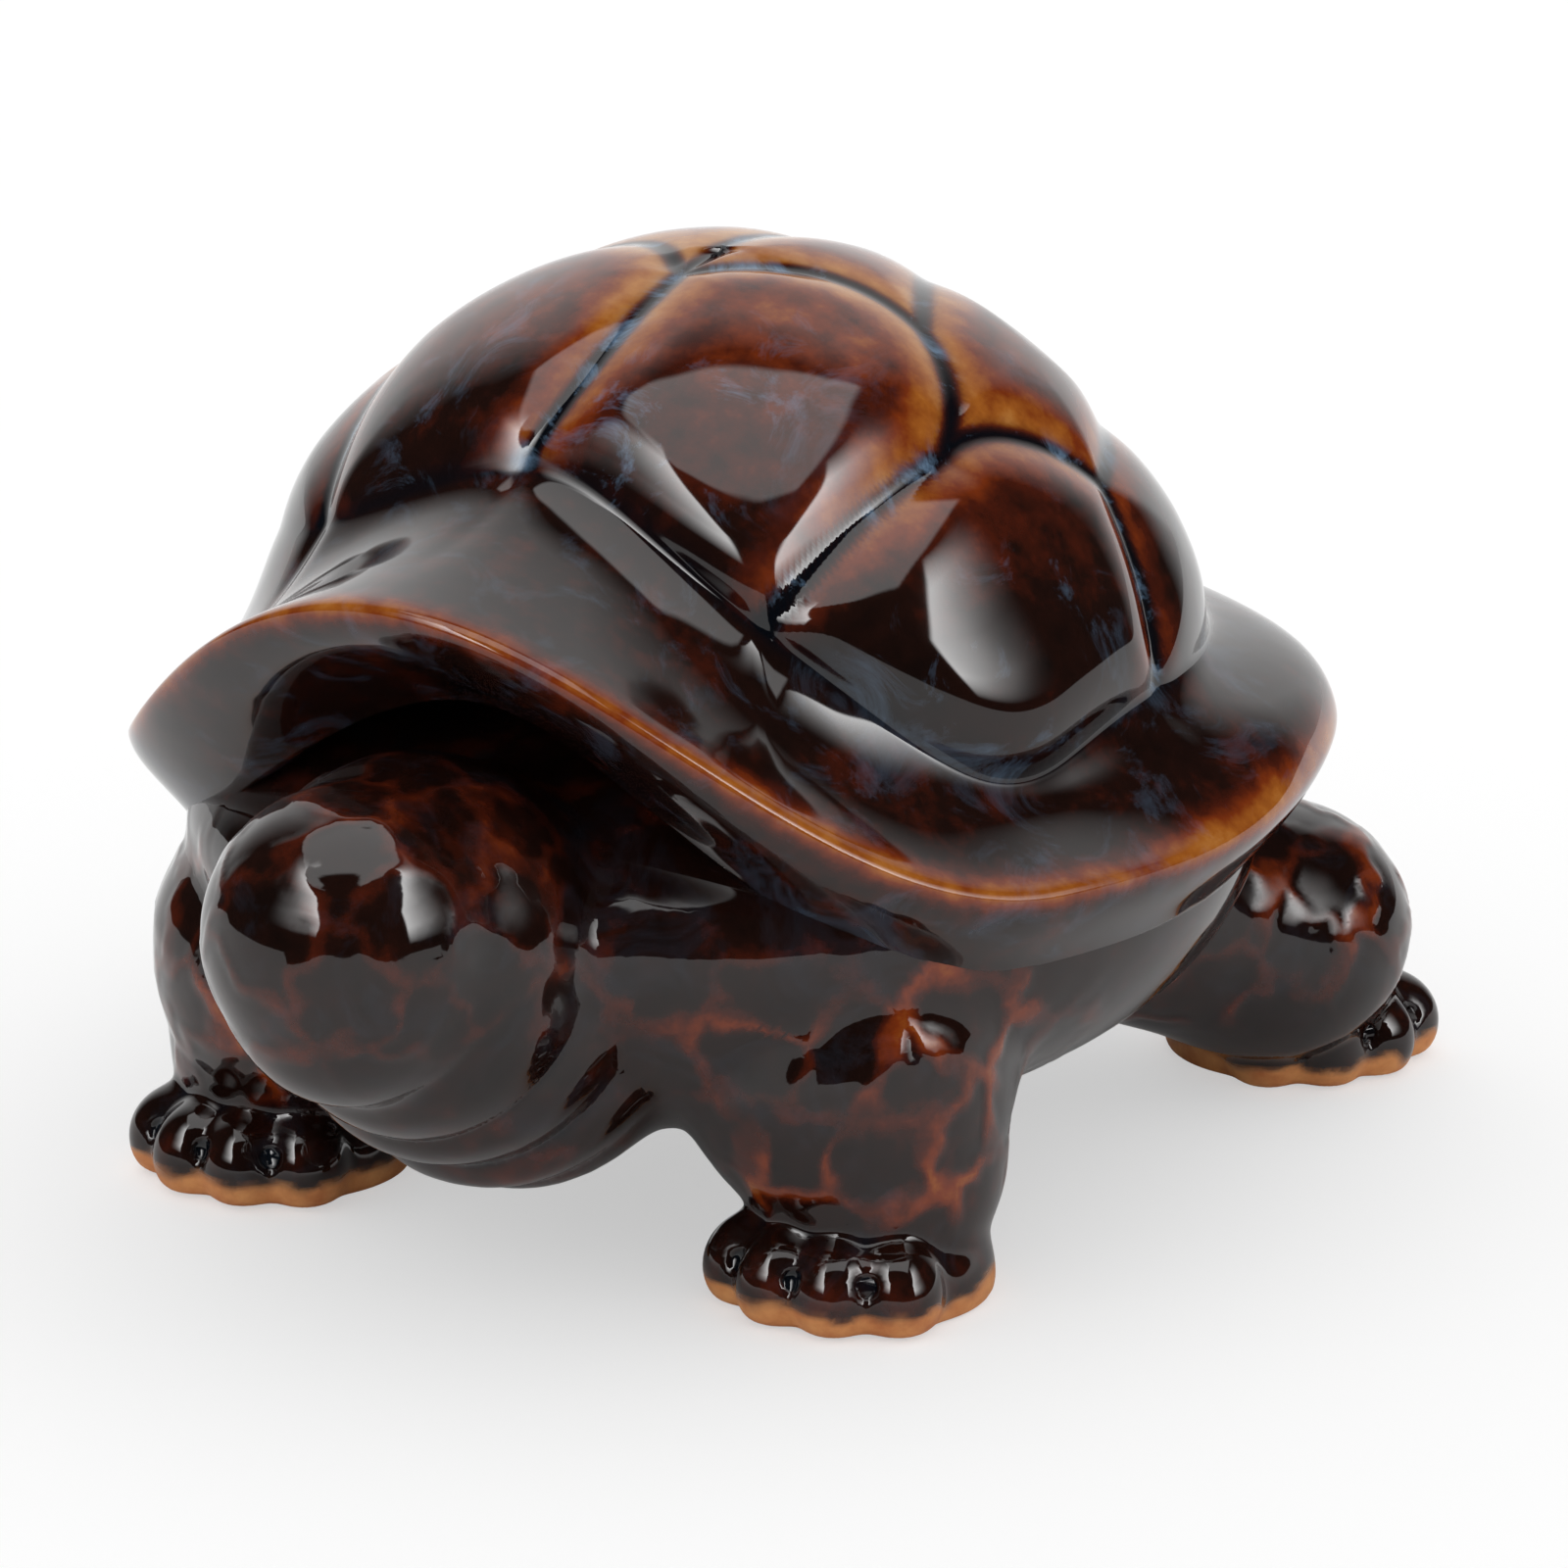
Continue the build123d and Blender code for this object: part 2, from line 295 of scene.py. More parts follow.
def add_row(place, groove=FAR, crease=FAR, ridge=FAR):
    """Add a ring of (reach, height) per bearing, with its distances from groove, crease and ridge."""
    rows.append(place)
    groove_rows.append(groove)
    crease_rows.append(crease)
    ridge_rows.append(ridge)


steepness = np.arcsin(base_shares)
for row in range(DOME_ROWS + 1):
    angle = steepness * row / DOME_ROWS
    relief, groove, crease = dome_relief(dome_point(bearings, np.sin(angle)))
    slope = np.stack((np.sin(angle) / DOME_RADIUS, np.cos(angle) / DOME_HALF_HEIGHT))
    slope /= np.linalg.norm(slope, axis=0)
    reach = DOME_RADIUS * np.sin(angle) - relief * slope[0]
    height = DOME_CENTRE + DOME_HALF_HEIGHT * np.cos(angle) - relief * slope[1]
    add_row(np.stack((reach, height)), groove, crease)
print("dome rings:", len(rows))

# %% [markdown]
# ### Brim, lip and inside
# The brim leaves the dome along its slope and flares out to a ridge. Below the ridge a thick lip rolls under
# and runs up to the body, and the wall closes the shell inside, unseen. A bevelled disc would give an even
# brim; here each bearing has its own curve from crease to ridge, because the ridge arches over the head and
# the flare changes on the way round.

# %% Brim
BRIM_ROWS = 36
RIM_RADIUS = 39.7
RIM_HEIGHT = 29.3
RIM_ARCH = 18.8
RIM_ARCH_ANGLE = 65.0
BACK_RIM_RISE = 1.0
BACK_RIM_BEARINGS = (80, 125)
REAR_QUARTER = 130
REAR_QUARTER_WIDTH = 17
REAR_QUARTER_REACH = 1.5
SIDE_FLARE = 24
FRONT_FLARE_LOSS = 20
BACK_FLARE_GAIN = 54
BACK_FLARE_BEARINGS = (75, 108)
BRIM_LEAVES_DOME = 0.22
BRIM_MEETS_RIDGE = 0.5


def bezier(places, share):
    """Points on a cubic curve from four places, each an array of (reach, height) per bearing."""
    weights = ((1 - share) ** 3, 3 * share * (1 - share) ** 2, 3 * share**2 * (1 - share), share**3)
    return sum(weight * place for weight, place in zip(weights, places))


base = rows[-1]
from_front = np.abs(bearings)
rise = arch(bearings, RIM_ARCH_ANGLE)
ridge_reach = RIM_RADIUS + REAR_QUARTER_REACH * hump(from_front - REAR_QUARTER, REAR_QUARTER_WIDTH)
ridge_height = RIM_HEIGHT + RIM_ARCH * rise + BACK_RIM_RISE * smooth_step(from_front, *BACK_RIM_BEARINGS)
ridge = np.stack((ridge_reach, ridge_height))
span = np.linalg.norm(ridge - base, axis=0)
down = np.stack((DOME_RADIUS * np.cos(steepness), -DOME_HALF_HEIGHT * np.sin(steepness)))
down /= np.linalg.norm(down, axis=0)
back_flare = BACK_FLARE_GAIN * smooth_step(from_front, *BACK_FLARE_BEARINGS)
flare_angle = np.radians(SIDE_FLARE - FRONT_FLARE_LOSS * rise + back_flare)
flare = np.stack((np.cos(flare_angle), -np.sin(flare_angle)))
brim_places = (base, base + BRIM_LEAVES_DOME * span * down, ridge - BRIM_MEETS_RIDGE * span * flare, ridge)
for row in range(1, BRIM_ROWS + 1):
    share = row / BRIM_ROWS
    add_row(bezier(brim_places, share), crease=share * span, ridge=(1 - share) * span)
print("rings to the ridge:", len(rows))

# %% Lip, which runs up to the trunk below the shell
LIP_ROWS = 34
TRUNK_CENTRE = 25.0
TRUNK_RADIUS = 36.0
TRUNK_TOP = 40.0
BELLY_DEPTH = 20.0
LIP_DEPTH = 3.6
LIP_ARCH_DEPTH = 3.4
LIP_FULLNESS = 0.6
LIP_BULGE = 0.35
WALL_DROP = 7.0
WALL_ARCH_DROP = 2.0
WALL_INSET = 0.4
WALL_ARCH_INSET = 4.0
TUCK_REACH = 1.6
TUCK_ARCH_REACH = 0.6
TUCK_HEIGHT = 2.6
TUCK_ARCH_HEIGHT = 1.2

lip = LIP_DEPTH + LIP_ARCH_DEPTH * rise
wall_height = ridge[1] - WALL_DROP - WALL_ARCH_DROP * rise
trunk_depth = np.where(wall_height < TRUNK_CENTRE, BELLY_DEPTH, TRUNK_TOP)
wall_share = np.clip((wall_height - TRUNK_CENTRE) / trunk_depth, -1, 1)
wall_reach = TRUNK_RADIUS * np.sqrt(1 - wall_share**2) - WALL_INSET - WALL_ARCH_INSET * rise
wall = np.stack((wall_reach, wall_height))
tuck = np.stack((TUCK_REACH - TUCK_ARCH_REACH * rise, TUCK_HEIGHT - TUCK_ARCH_HEIGHT * rise))
bulge = np.stack((np.full(len(bearings), LIP_BULGE), -LIP_FULLNESS * lip))
lip_places = (ridge, ridge + bulge, wall + tuck, wall)
lip_length = np.linalg.norm(wall - ridge, axis=0)
for row in range(1, LIP_ROWS + 1):
    share = row / LIP_ROWS
    add_row(bezier(lip_places, share), ridge=share * lip_length)
outer_rows = len(rows)
print("rings to the lip's inner edge:", outer_rows)

# %% Inside of the shell
INNER_ROWS = 14
SHELL_WALL = 5.0
WALL_STEP = 1.5
SOFTENING_ROUNDS = 3

inner_radius, inner_half_height = DOME_RADIUS - SHELL_WALL, DOME_HALF_HEIGHT - SHELL_WALL
start_share = np.clip((wall_height + WALL_STEP - DOME_CENTRE) / inner_half_height, 0, 1)
for row in range(INNER_ROWS + 1):
    angle = np.arccos(start_share) * (1 - row / INNER_ROWS)
    add_row(np.stack((inner_radius * np.sin(angle), DOME_CENTRE + inner_half_height * np.cos(angle))))

# Slip softens every edge that a tool left on the outside
profile = np.array(rows)
for _ in range(SOFTENING_ROUNDS):
    inside = profile[1:outer_rows - 1]
    profile[1:outer_rows - 1] = inside / 2 + (profile[:outer_rows - 2] + profile[2:outer_rows]) / 4
turn = np.radians(bearings)
reach, height = profile[:, 0], profile[:, 1]
shell_points = SHELL_AXIS + np.stack((reach * np.sin(turn), -reach * np.cos(turn), height), axis=-1)
shell_points = shell_points.reshape(-1, 3)
print("carapace rings:", len(rows), "top", shell_points[:, 2].max().round(2))

# %% Carapace grid
bpy.ops.object.select_all(action="DESELECT")
bpy.ops.mesh.primitive_grid_add(x_subdivisions=ROUND_STEPS, y_subdivisions=len(rows) - 1, size=1)
carapace = bpy.context.object
carapace.name = "carapace_glazed"
set_points(carapace.data, shell_points)
print("carapace points:", len(carapace.data.vertices))

# %% [markdown]
# ### Glaze on the carapace
# In the kiln the glaze runs off the edges beside the grooves and off the brim's ridge, where it fires amber.
# It gathers in the grooves, in the crease and at the feet of the scutes, where it stays dark. Painted colours
# would need a picture; a thickness per point, from the same distances that shaped the shell, needs none.

# %% Glaze marks on the carapace, and a painted reflection on the front scute
CROWN_THIN_HEIGHTS = (42, 62)
GROOVE_POOL = 0.8
CREASE_POOL = 1.1
CREASE_POOL_SHARE = 0.7
EDGE_STARTS = (0.35, 1.0)
EDGE_ENDS = (1.0, 5.0)
SCUTE_THIN = 0.22
CROWN_THIN = 0.13
EDGE_THIN = 0.25
CROWN_EDGE_THIN = 0.1
FOOT_GATHERS = 0.14
FOOT_REACH = (3, 16)
BRIM_THIN = 0.13
RIDGE_THIN = 0.45
RIDGE_WIDTH = 1.5
PAINTED_REFLECTION_PLACE = (16, 0.52)
PAINTED_REFLECTION_REACH = 6.0
GROOVE_MILK = 0.75
SCUTE_MILK = 0.25
SCUTE_MILK_EDGE = (3, 9)
PAINTED_REFLECTION_TINT = 0.6
BRIM_MILK = 0.12

groove_gap = np.array(groove_rows).ravel()
crease_gap = np.array(crease_rows).ravel()
ridge_gap = np.array(ridge_rows).ravel()
on_scute = np.repeat(np.arange(len(rows)) <= DOME_ROWS, ROUND_STEPS + 1)
crown_share = smooth_step(shell_points[:, 2], *CROWN_THIN_HEIGHTS)
groove_bed = hump(groove_gap, GROOVE_POOL)
broken_edge = smooth_step(groove_gap, *EDGE_STARTS) * (1 - smooth_step(groove_gap, *EDGE_ENDS))
scute_thin = SCUTE_THIN + CROWN_THIN * crown_share + (EDGE_THIN + CROWN_EDGE_THIN * crown_share) * broken_edge
scute_thin -= FOOT_GATHERS * (1 - smooth_step(crease_gap, *FOOT_REACH))
brim_thin = BRIM_THIN + RIDGE_THIN * hump(ridge_gap, RIDGE_WIDTH)
# The milky patch where the overhead light's reflection falls on the front scute is a painted reflection, tinting
# it grey-blue
from_painted_reflection = np.linalg.norm(shell_points - dome_point(*PAINTED_REFLECTION_PLACE), axis=1)
scute_milk_and_reflection = GROOVE_MILK * groove_bed + SCUTE_MILK * smooth_step(groove_gap, *SCUTE_MILK_EDGE)
scute_milk_and_reflection += PAINTED_REFLECTION_TINT * hump(from_painted_reflection, PAINTED_REFLECTION_REACH)
store(carapace.data, "thin", np.where(on_scute, scute_thin, brim_thin))
store(carapace.data, "pool", groove_bed + CREASE_POOL_SHARE * hump(crease_gap, CREASE_POOL))
store(carapace.data, "milk_and_reflection", np.where(on_scute, scute_milk_and_reflection, BRIM_MILK))
store(carapace.data, "bare", np.zeros(len(shell_points)))
print("mean thinness on the scutes:", scute_thin[on_scute].mean().round(3))

# %% Close the carapace
SAME_POINT = 0.01
bpy.ops.object.mode_set(mode="EDIT")
bpy.ops.mesh.select_all(action="SELECT")
bpy.ops.mesh.remove_doubles(threshold=SAME_POINT * MM)
bpy.ops.mesh.normals_make_consistent(inside=False)
bpy.ops.object.mode_set(mode="OBJECT")
bpy.ops.object.shade_smooth()
print("carapace faces:", len(carapace.data.polygons))

# %% [markdown]
# ## Body, head, legs and tail
# These are round, swollen forms that run into each other without a step, because slip fills the seams. They
# could be sculpted by hand, but then two pieces would not meet in one smooth fillet. So each piece starts as
# balls that are joined and remeshed into an even skin, and the skin is drawn onto a formula for the finished
# turtle, as a sculptor pulls clay onto an armature. Balls and tapering limbs are the armature.


# %% Forms that clay is drawn onto
def ball(points, centre, radii):
    """Distance from an ellipsoid, good near its surface."""
    offset = (points - np.array(centre)) / np.array(radii)
    near = np.linalg.norm(offset, axis=1)
    steep = np.linalg.norm(offset / np.array(radii), axis=1)
    return near * (near - 1) / np.maximum(steep, 1e-6)


def limb(points, start, end, start_radius, end_radius):
    """Distance from a tapering limb with round ends."""
    start, end = np.array(start), np.array(end)
    along = end - start
    share = np.clip((points - start) @ along / (along @ along), 0, 1)
    reach = np.linalg.norm(points - start - share[:, None] * along, axis=1)
    return reach - start_radius - share * (end_radius - start_radius)


def join(first, second, blend):
    """Two forms as one, with a fillet about as wide as the blend."""
    mix = np.clip(1 - np.abs(first - second) / blend, 0, None)
    return np.minimum(first, second) - mix**3 * blend / 6


def carve(form, tool, blend):
    """A form with a tool's shape taken out and the edges softened."""
    return -join(-form, tool, blend)


# %% Trunk: a bowl of a belly, with a flatter top that stays inside the shell
TRUNK_MIDDLE = (0, SHELL_AXIS[1], TRUNK_CENTRE)
CORE_HEIGHT = 12.0


def trunk_form(points):
    low = ball(points, TRUNK_MIDDLE, (TRUNK_RADIUS, TRUNK_RADIUS, BELLY_DEPTH))
    high = ball(points, TRUNK_MIDDLE, (TRUNK_RADIUS, TRUNK_RADIUS, CORE_HEIGHT))
    return np.where(points[:, 2] < TRUNK_CENTRE, low, high)


print("belly bottom at", TRUNK_CENTRE - BELLY_DEPTH, "mm")

# %% [markdown]
# ### Head
# A round skull with a soft jaw sits on a neck thicker than itself. Below the neck the throat hangs in rolls,
# which run round the skull like ripples, so a wave of the distance from the skull gives them.

# %% Head
SKULL_CENTRE = (0.0, -41.6, 27.8)
SKULL_RADII = (9.6, 9.4, 9.4)
JAW_CENTRE = (0.0, -41.4, 23.3)
JAW_RADII = (7.2, 8.0, 6.6)
JAW_BLEND = 2.0
NECK = {"start": (0.0, -24.0, 19.0), "end": (0.0, -34.6, 25.8), "start_radius": 13.0, "end_radius": 11.6}
THROAT_CENTRE = (0.0, -32.0, 18.6)
THROAT_RADII = (9.6, 8.6, 7.4)
THROAT_BLEND = 4.0
FACE_BLEND = 1.8
ROLL_HEIGHT = 0.7
ROLL_START = 10.7
ROLL_LENGTH = 4.7
ROLL_BELOW = (-24, -18)
ROLL_AHEAD = (22, 30)


def head_form(points):
    neck = limb(points, **NECK)
    throat = ball(points, THROAT_CENTRE, THROAT_RADII)
    skull = ball(points, SKULL_CENTRE, SKULL_RADII)
    jaw = ball(points, JAW_CENTRE, JAW_RADII)
    from_skull = np.linalg.norm(points - np.array(SKULL_CENTRE), axis=1)
    under = smooth_step(-points[:, 2], *ROLL_BELOW) * smooth_step(-points[:, 1], *ROLL_AHEAD)
    rolls = np.abs(np.sin(np.pi * (from_skull - ROLL_START) / ROLL_LENGTH))
    face = join(skull, jaw, JAW_BLEND)
    return join(join(neck, throat, THROAT_BLEND) - ROLL_HEIGHT * under * (rolls - 0.5), face, FACE_BLEND)


print("nose at", round(SKULL_CENTRE[1] - SKULL_RADII[1], 1), "mm")

# %% [markdown]
# ### Legs and tail
# A swollen thigh runs into a shorter shin and stands on a flat paw with four round toes, with a dimple pressed
# between each two. The right legs are the left ones mirrored; the front right one steps a little further out.

# %% Legs
FRONT_LEG = {
    "joints": ((15.5, -9.0, 18.0), (19.9, -14.7, 15.2), (22.3, -14.7, 8.0)),
    "radii": (10.0, 10.7, 8.1),
    "paw": (22.0, -15.8),
    "turn": -88.0,
}
FRONT_RIGHT_STEP = np.array((1.2, -0.6, 0.0))
REAR_LEG = {
    "joints": ((17.0, 22.0, 16.0), (24.4, 34.6, 10.0), (23.6, 37.0, 7.5)),
    "radii": (9.0, 8.7, 7.2),
    "paw": (22.6, 39.6),
    "turn": -25.0,
}
KNEE_BLEND = 4.5
PAW_RADII = (8.3, 8.5, 7.4)
PAW_CENTRE_HEIGHT = 1.2
PAW_BLEND = 1.5
TOE_RADII = (3.8, 3.1, 3.6)
TOE_HEIGHT = 2.4
TOE_SPREAD = 30.0
TOE_COUNT = 4
TOE_REACH = 7.0
TOE_BLEND = 1.6
DIMPLE_RADIUS = 0.6
DIMPLE_REACH = 9.4
DIMPLE_HEIGHT = 3.6
DIMPLE_BLEND = 1.0
SOLE_ROUND = 1.2


def round_paw(paw, turn, count, reach, height):
    """Places and headings spread evenly round the front of a paw."""
    for number in range(count):
        heading = math.radians(turn + TOE_SPREAD * (number - (count - 1) / 2))
        yield (paw[0] + reach * math.cos(heading), paw[1] + reach * math.sin(heading), height), heading


def toes(paw, turn):
    return round_paw(paw, turn, TOE_COUNT, TOE_REACH, TOE_HEIGHT)


def turned(points, centre, heading):
    """Points seen from a centre with the heading along X."""
    cosine, sine = math.cos(heading), math.sin(heading)
    offset = points - np.array(centre)
    return np.stack((offset[:, 0] * cosine + offset[:, 1] * sine,
                     offset[:, 1] * cosine - offset[:, 0] * sine, offset[:, 2]), axis=1)


def leg_form(points, joints, radii, paw, turn):
    thigh = limb(points, joints[0], joints[1], radii[0], radii[1])
    shin = limb(points, joints[1], joints[2], radii[1], radii[2])
    pad = ball(turned(points, (*paw, PAW_CENTRE_HEIGHT), math.radians(turn)), (0, 0, 0), PAW_RADII)
    form = join(join(thigh, shin, KNEE_BLEND), pad, PAW_BLEND)
    for place, heading in toes(paw, turn):
        form = join(form, ball(turned(points, place, heading), (0, 0, 0), TOE_RADII), TOE_BLEND)
    for place, _ in round_paw(paw, turn, TOE_COUNT - 1, DIMPLE_REACH, DIMPLE_HEIGHT):
        form = carve(form, ball(points, place, (DIMPLE_RADIUS,) * 3), DIMPLE_BLEND)
    return carve(form, points[:, 2], SOLE_ROUND)


print("front paw reaches", TOE_REACH + TOE_RADII[0], "mm from its middle")

# %% Tail and the list of forms
TAIL = {"start": (0.0, 33.0, 13.0), "end": (0.0, 48.8, 6.2), "start_radius": 5.6, "end_radius": 2.4}
FORMS = {
    "body": trunk_form,
    "head": head_form,
    "front_left_leg": lambda points: leg_form(points, **FRONT_LEG),
    "front_right_leg": lambda points: leg_form(mirrored(points) - FRONT_RIGHT_STEP, **FRONT_LEG),
    "rear_left_leg": lambda points: leg_form(points, **REAR_LEG),
    "rear_right_leg": lambda points: leg_form(mirrored(points), **REAR_LEG),
    "tail": lambda points: limb(points, **TAIL),
}
print("forms:", ", ".join(FORMS))

# %% [markdown]
# ### Seams
# Every piece follows the same joined turtle, so neighbours meet in one smooth fillet. Past the seam a piece
# dives below its neighbour and closes a little way inside it. Cut edges that only touch would show a gap.

# %% Seams
SEAM_FILLET = 2.6
SEAM_HIDDEN = 1.3
SEAM_DIVE = 0.3


def whole_form(points, name):
    """The joined turtle where a piece shows, closing a little way inside the piece's neighbours."""
    values = {other: form(points) for other, form in FORMS.items()}
    whole = values["body"]
    for other in values:
        if other != "body":
            whole = join(whole, values[other], SEAM_FILLET)
    own = values.pop(name)
    past_seam = np.clip(own - np.min(list(values.values()), axis=0), 0, None)
    return np.maximum(whole + SEAM_DIVE * past_seam**2, own - SEAM_HIDDEN)


# %% Reading and smoothing a mesh's points
def get_points(mesh):
    flat = np.empty(len(mesh.vertices) * 3)
    mesh.vertices.foreach_get("co", flat)
    return flat.reshape(-1, 3) / MM


def get_normals(mesh):
    flat = np.empty(len(mesh.vertices) * 3)
    mesh.vertex_normals.foreach_get("vector", flat)
    return flat.reshape(-1, 3)


def get_edges(mesh):
    flat = np.empty(len(mesh.edges) * 2, dtype=np.int64)
    mesh.edges.foreach_get("vertices", flat)
    return flat.reshape(-1, 2)


def averaged(values, edges, rounds):
    """Values at points, each round replaced by the mean of itself and its neighbours' mean."""
    values = np.array(values, dtype=float)
    count = np.bincount(edges.ravel(), minlength=len(values)).astype(float)
    for _ in range(rounds):
        total = np.zeros_like(values)
        np.add.at(total, edges[:, 0], values[edges[:, 1]])
        np.add.at(total, edges[:, 1], values[edges[:, 0]])
        shape = count if values.ndim == 1 else count[:, None]
        values = (values + total / np.maximum(shape, 1)) / 2
    return values


# %% Skins
SMOOTHING_ROUNDS = 2
DRAWING_ROUNDS = 8
PROBE_STEP = 0.05
LEAST_SLOPE = 0.3
LONGEST_PULL = 1.5
BALL_SEGMENTS = 48
BALL_RINGS = 32


def lump(name, balls, voxel):
    """Balls joined and remeshed into one even skin."""
    bpy.ops.object.select_all(action="DESELECT")
    made = []
    for centre, radii in balls:
        bpy.ops.mesh.primitive_uv_sphere_add(segments=BALL_SEGMENTS, ring_count=BALL_RINGS, radius=1,
                                             location=np.array(centre) * MM)
        bpy.ops.transform.resize(value=np.array(radii) * MM)
        made.append(bpy.context.object)
    for piece in made:
        piece.select_set(True)
    bpy.context.view_layer.objects.active = made[0]
    bpy.ops.object.join()
    piece = bpy.context.object
    piece.name = name + "_glazed"
    bpy.ops.object.transform_apply(location=True, rotation=True, scale=True)
    remesh = piece.modifiers.new("even_skin", "REMESH")
    remesh.mode = "VOXEL"
    remesh.voxel_size = voxel * MM
    bpy.ops.object.modifier_apply(modifier=remesh.name)
    return piece


def skin(name, balls, voxel):
    """A lump whose points are drawn onto the piece's form, a pull at a time along its slope."""
    piece = lump(name, balls, voxel)
    points = averaged(get_points(piece.data), get_edges(piece.data), SMOOTHING_ROUNDS)
    for _ in range(DRAWING_ROUNDS):
        value = whole_form(points, name)
        rises = [whole_form(points + PROBE_STEP * axis, name) - value for axis in np.eye(3)]
        slope = np.stack(rises, axis=1) / PROBE_STEP
        size = np.maximum((slope**2).sum(1), LEAST_SLOPE)
        points -= (np.clip(value, -LONGEST_PULL, LONGEST_PULL) / size)[:, None] * slope
    set_points(piece.data, points)
    bpy.ops.object.shade_smooth()
    print(name, "faces:", len(piece.data.polygons), "low", points.min(0).round(2), "high", points.max(0).round(2))
    return piece


# %% Soft pieces
BODY_VOXEL = 0.6
HEAD_VOXEL = 0.42
LIMB_VOXEL = 0.38
LIMB_BALLS = 5
TOE_LUMP = 3.3
BODY_LUMP_HEIGHT = 16


def along(start, end, start_radius, end_radius):
    """Balls that fill a tapering limb."""
    for share in np.linspace(0, 1, LIMB_BALLS):
        place = np.array(start) * (1 - share) + np.array(end) * share
        yield place, (start_radius + share * (end_radius - start_radius),) * 3


def leg_balls(joints, radii, paw, turn, side, step=(0, 0, 0)):
    """Balls that fill a leg on one side: 1 for the turtle's left, -1 for its right."""
    balls = list(along(joints[0], joints[1], radii[0], radii[1]))
    balls += along(joints[1], joints[2], radii[1], radii[2])
    balls.append(((*paw, PAW_CENTRE_HEIGHT), PAW_RADII))
    balls += [(place, (TOE_LUMP,) * 3) for place, _ in toes(paw, turn)]
    return [((np.array(centre) + step) * (side, 1, 1), radii) for centre, radii in balls]


head_balls = [*along(**NECK), (SKULL_CENTRE, SKULL_RADII), (JAW_CENTRE, JAW_RADII), (THROAT_CENTRE, THROAT_RADII)]
soft_balls = {
    "body": [(TRUNK_MIDDLE, (TRUNK_RADIUS, TRUNK_RADIUS, BODY_LUMP_HEIGHT))],
    "head": head_balls,
    "front_left_leg": leg_balls(side=1, **FRONT_LEG),
    "front_right_leg": leg_balls(side=-1, step=FRONT_RIGHT_STEP, **FRONT_LEG),
    "rear_left_leg": leg_balls(side=1, **REAR_LEG),
    "rear_right_leg": leg_balls(side=-1, **REAR_LEG),
    "tail": list(along(**TAIL)),
}
voxels = {"body": BODY_VOXEL, "head": HEAD_VOXEL}
soft_pieces = {name: skin(name, balls, voxels.get(name, LIMB_VOXEL)) for name, balls in soft_balls.items()}
pieces = {"carapace": carapace, **soft_pieces}
print("pieces:", len(pieces))

# %% [markdown]
# ## Where the glaze runs thin
# The glaze drains off raised lines and edges, where it fires amber, and gathers in hollows, where it stays
# dark. Legs, head and flanks carry a net of raised lines between round scales. A bump in the finish could
# draw the net, but it would lie flat at the outline, so the lines are raised in the mesh. The scales' middles
# are picked by chance, a spacing apart, and a line runs wherever two middles are equally near. The soles were
# wiped before firing and show bare clay.

# %% Scales on the skin
SCALE_SPACING = 4.8
SCALE_SEED = 7
SCALE_TRIES = 6000
LINE_WIDTH = 1.1
LINE_SHARP = 0.2
LINE_BLOCK = 8000
CLOUD_WAVES = 10
CLOUD_STRETCH = 1.6


def cloud(points, size, seed):
    """Slow noise, about -1 to 1, with lumps of a size in millimetres."""
    chance = np.random.default_rng(seed)
    waves = chance.normal(size=(CLOUD_WAVES, 3)) * 2 * np.pi / (CLOUD_STRETCH * size)
    starts = chance.uniform(0, 2 * np.pi, CLOUD_WAVES)
    return np.cos(points @ waves.T + starts).sum(1) / math.sqrt(CLOUD_WAVES)


def scale_middles(points):
    """Middles of scales: points picked by chance that keep a spacing."""
    chance = np.random.default_rng(SCALE_SEED)
    middles = np.empty((0, 3))
    for place in points[chance.permutation(len(points))[:SCALE_TRIES]]:
        if not len(middles) or ((middles - place) ** 2).sum(1).min() > SCALE_SPACING**2:
            middles = np.vstack((middles, place))
    return middles


def net_lines(points, middles):
    """1 on the line between two scales, 0 inside a scale."""
    lines = np.empty(len(points))
    for first in range(0, len(points), LINE_BLOCK):
        gaps = np.linalg.norm(points[first:first + LINE_BLOCK, None] - middles, axis=2)
        gaps.partition(1, axis=1)
        lines[first:first + LINE_BLOCK] = 1 - smooth_step(gaps[:, 1] - gaps[:, 0], LINE_SHARP, 2 * LINE_WIDTH)
    return lines


middles = scale_middles(np.concatenate([get_points(piece.data) for piece in soft_pieces.values()]))
print("scales:", len(middles))

# %% Where the net shows: on the legs, fainter on the head and hardly on throat, belly and hood
NET_SHOWN = (0.45, 0.55)
NET_CLOUD = 10.0
NET_CLOUD_SEED = 60
NET_CLOUD_EDGE = 0.6
HEAD_AHEAD = (30, 40)
HEAD_SHOWN = 0.5
HOOD_HEIGHTS = (25, 31)
HOOD_LOSS = 0.65
FOOT_HEIGHTS = (5, 9)
CHEST_HALF_WIDTH = 18
CHEST_HEIGHT = 23
CHEST_EDGE = 4
CHEST_LOSS = 0.8
FLANK_FADE = (2, 8)


